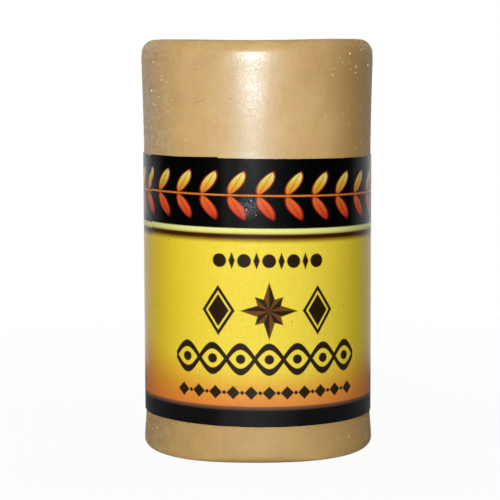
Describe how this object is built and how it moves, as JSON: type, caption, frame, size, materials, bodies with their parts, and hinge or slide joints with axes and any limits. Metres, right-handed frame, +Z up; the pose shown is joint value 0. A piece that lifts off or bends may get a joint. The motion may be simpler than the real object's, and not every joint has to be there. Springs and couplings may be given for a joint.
{
  "type": "furniture repair wax stick",
  "caption": "Cast soft wax filler stick: a short waisted cylinder with a rounded top edge, wrapped round its waist in a glossy printed label whose end laps over its start.",
  "frame": {"origin": "middle of the flat base that the stick stands on", "axes": "+Z up along the stick's axis, -Y towards the viewer of the label's front, +X to the viewer's right"},
  "size_m": [0.0254, 0.0254, 0.0444],
  "materials": {
    "wax": "cast soft wax, satin, slightly waxy bloom",
    "adhesive": "clear tacky acrylic film",
    "label": "glossy printed film, black, yellow and orange bands"
  },
  "bodies": {
    "root": {"wax_stick": "wax", "label_adhesive": "adhesive", "printed_label": "label"}
  },
  "joints": []
}
